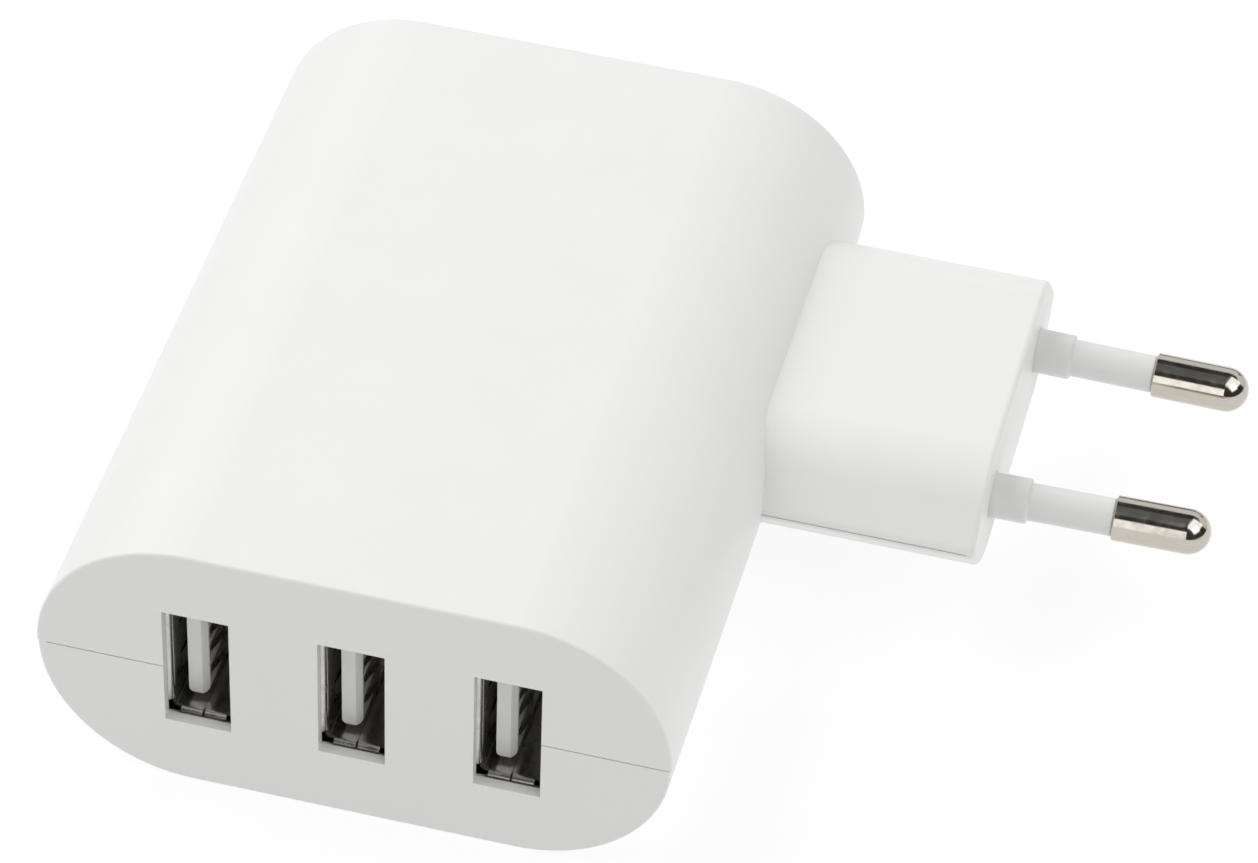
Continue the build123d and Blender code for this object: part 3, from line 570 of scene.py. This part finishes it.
class CHARGER_OT_output_side(bpy.types.Operator):
    """Finishes the heat sink, its screw and the output capacitors"""
    bl_idname = "charger.output_side"
    bl_label = "Output side"

    def execute(self, context):
        # Aluminium sheet, rolled and sheared: silvery, with long streaks up the sheet
        sheet = metal("Aluminium sheet, rolled", linear("#BFC0C2"), linear("#AFB0B3"), (0.26, 0.42), UPWARDS,
                      size=0.3, depth=0.003)
        dress(sheet, "heat_sink")
        # Steel, cold headed and zinc plated: bluish and slightly frosted
        zinc = metal("Steel, zinc plated", linear("#B4B8BE"), linear("#9CA0A8"), (0.22, 0.38), size=0.4,
                     depth=0.003)
        dress(zinc, "heat_sink_screw")
        # Aluminium can, drawn: satin, with lines up the side and a dark mark at the negative side of its
        # top
        low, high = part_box("output_capacitor_1")
        can, tree, shader = new_material("Aluminium can, drawn", {"Metallic": 1.0})
        drawn = grain(tree, 0.2, UPWARDS)
        mark_depth = 2.2
        top = past(tree, "Z", high.z / MM - 2.5 * SKIN, high.z / MM - 1.5 * SKIN)
        front = past(tree, "Y", low.y / MM + mark_depth, low.y / MM + mark_depth - 0.1)
        mark = combine(tree, "MULTIPLY", top, front)
        tone = tint(tree, spread(tree, drawn, 0.0, 1.0), linear("#C2C3C6"), linear("#B0B1B5"))
        connect(tree, shader, Base_Color=tint(tree, mark, tone, linear("#37415F")),
                Roughness=spread(tree, drawn, 0.22, 0.36), Normal=relief(tree, drawn, 0.002))
        dress(can, "output_capacitor_1", "output_capacitor_2")
        return {"FINISHED"}


class CHARGER_OT_studio(bpy.types.Operator):
    """Makes the table, the soft lights and the camera"""
    bl_idname = "charger.studio"
    bl_label = "Studio"

    def execute(self, context):
        studio = context.scene.charger_studio
        scene = context.scene
        scene.view_settings.view_transform = "Standard"
        scene.view_settings.look = "None"

        # A table much wider than any view, just below the charger
        corners = [(x * TABLE_REACH, y * TABLE_REACH, 0) for x, y in ((-1, -1), (1, -1), (1, 1), (-1, 1))]
        mesh = bpy.data.meshes.new("table")
        mesh.from_pydata(corners, [], [(0, 1, 2, 3)])
        table = bpy.data.objects.new("table", mesh)
        table.location.z = CAD_LOW.z - TABLE_GAP
        scene.collection.objects.link(table)
        # Opal acrylic, cast and lit from below: white, nearly free of shadows
        opal = moulded("Opal acrylic, lit from below", linear("#828282"), linear("#808080"), (0.8, 0.9),
                       size=1.0, depth=0.001, sockets={
                           "Specular IOR Level": 0.0, "Emission Color": linear("#FFFFFF"),
                           "Emission Strength": studio.table_glow})
        mesh.materials.append(opal)

        world = bpy.data.worlds.new("studio")
        scene.world = world
        world.use_nodes = True
        background = world.node_tree.nodes["Background"]
        background.inputs["Color"].default_value = linear("#FFFFFF")
        background.inputs["Strength"].default_value = studio.surroundings

        for name, azimuth, elevation, width, height, strength in SOFTBOXES:
            softbox(name, azimuth, elevation, width, height, strength * studio.strength)

        # Above the port side and a little to the right, looking down at the ports and the pins
        data = bpy.data.cameras.new("camera")
        data.sensor_fit = "HORIZONTAL"
        data.sensor_width = SENSOR_WIDTH
        data.lens = studio.focal_length
        data.clip_start = 0.01
        data.clip_end = 20.0
        camera = bpy.data.objects.new("camera", data)
        right = Vector(CAMERA_RIGHT).normalized()
        up = Vector(CAMERA_UP).normalized()
        back = right.cross(up).normalized()
        up = back.cross(right).normalized()
        turn = Matrix((right, up, back)).transposed()
        camera.matrix_world = Matrix.Translation(Vector(CAMERA_PLACE)) @ turn.to_4x4()
        scene.collection.objects.link(camera)
        scene.camera = camera
        return {"FINISHED"}


OPERATORS = (CHARGER_OT_studio, CHARGER_OT_housing, CHARGER_OT_pins, CHARGER_OT_ports, CHARGER_OT_board,
             CHARGER_OT_mains_side, CHARGER_OT_isolation, CHARGER_OT_output_side)


class CHARGER_PT_panel(bpy.types.Panel):
    """Lists the charger's pieces and their settings"""
    bl_label = "USB wall charger"
    bl_idname = "CHARGER_PT_panel"
    bl_space_type = "VIEW_3D"
    bl_region_type = "UI"
    bl_category = "Charger"

    def draw(self, context):
        scene = context.scene
        for operator in OPERATORS:
            self.layout.operator(operator.bl_idname)
        for group in (scene.charger_colours, scene.charger_textures, scene.charger_studio):
            column = self.layout.column()
            for name in group.__annotations__:
                column.prop(group, name)


CLASSES = (ChargerColours, ChargerTextures, ChargerStudio, *OPERATORS, CHARGER_PT_panel)


def register():
    for cls in CLASSES:
        bpy.utils.register_class(cls)
    bpy.types.Scene.charger_colours = PointerProperty(type=ChargerColours)
    bpy.types.Scene.charger_textures = PointerProperty(type=ChargerTextures)
    bpy.types.Scene.charger_studio = PointerProperty(type=ChargerStudio)


def unregister():
    del bpy.types.Scene.charger_studio
    del bpy.types.Scene.charger_textures
    del bpy.types.Scene.charger_colours
    for cls in reversed(CLASSES):
        bpy.utils.unregister_class(cls)


def main():
    register()
    bpy.ops.charger.studio()
    bpy.ops.charger.housing()
    bpy.ops.charger.pins()
    bpy.ops.charger.ports()
    bpy.ops.charger.board()
    bpy.ops.charger.mains_side()
    bpy.ops.charger.isolation()
    bpy.ops.charger.output_side()


if __name__ == "__main__":
    main()
